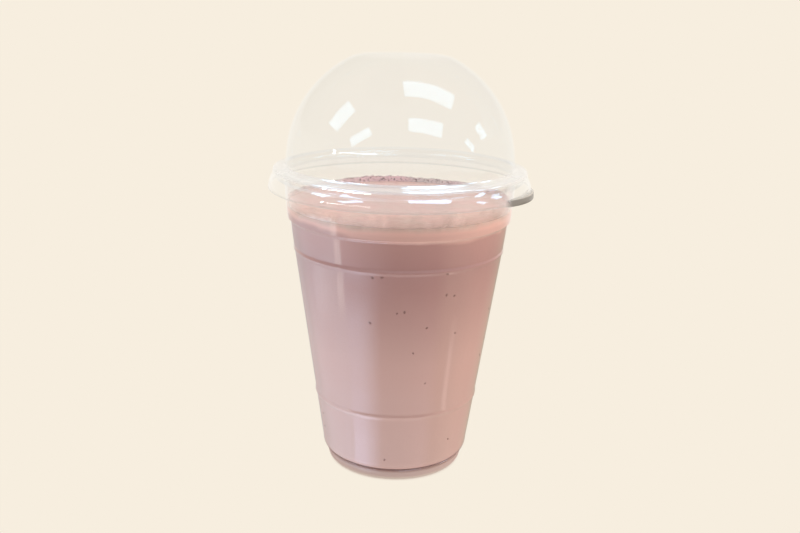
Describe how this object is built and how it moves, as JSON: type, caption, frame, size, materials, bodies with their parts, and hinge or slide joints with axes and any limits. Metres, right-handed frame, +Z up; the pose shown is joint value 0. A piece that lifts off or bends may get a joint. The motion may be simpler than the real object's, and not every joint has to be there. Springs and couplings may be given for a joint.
{
  "type": "strawberry banana smoothie in a clear take-away cup",
  "caption": "Pink blended drink in a tapered clear plastic cup, shut with a clear flat-topped dome lid that has a small pull tab.",
  "frame": {"origin": "centre of the foot, at the surface that the cup stands on", "axes": "+Z up along the cup's axis, -Y towards the front, +X to the right; the lid's pull tab is on the right, 26 degrees towards the front"},
  "size_m": [0.1028, 0.1028, 0.1645],
  "materials": {
    "cup_plastic": "clear, thin, glossy",
    "lid_plastic": "clear, thin, glossy",
    "smoothie": "thick opaque pink drink with a pale foamy top and a few dark seeds"
  },
  "bodies": {
    "root": {"cup": "cup_plastic", "lid": "lid_plastic", "smoothie": "smoothie"}
  },
  "joints": []
}
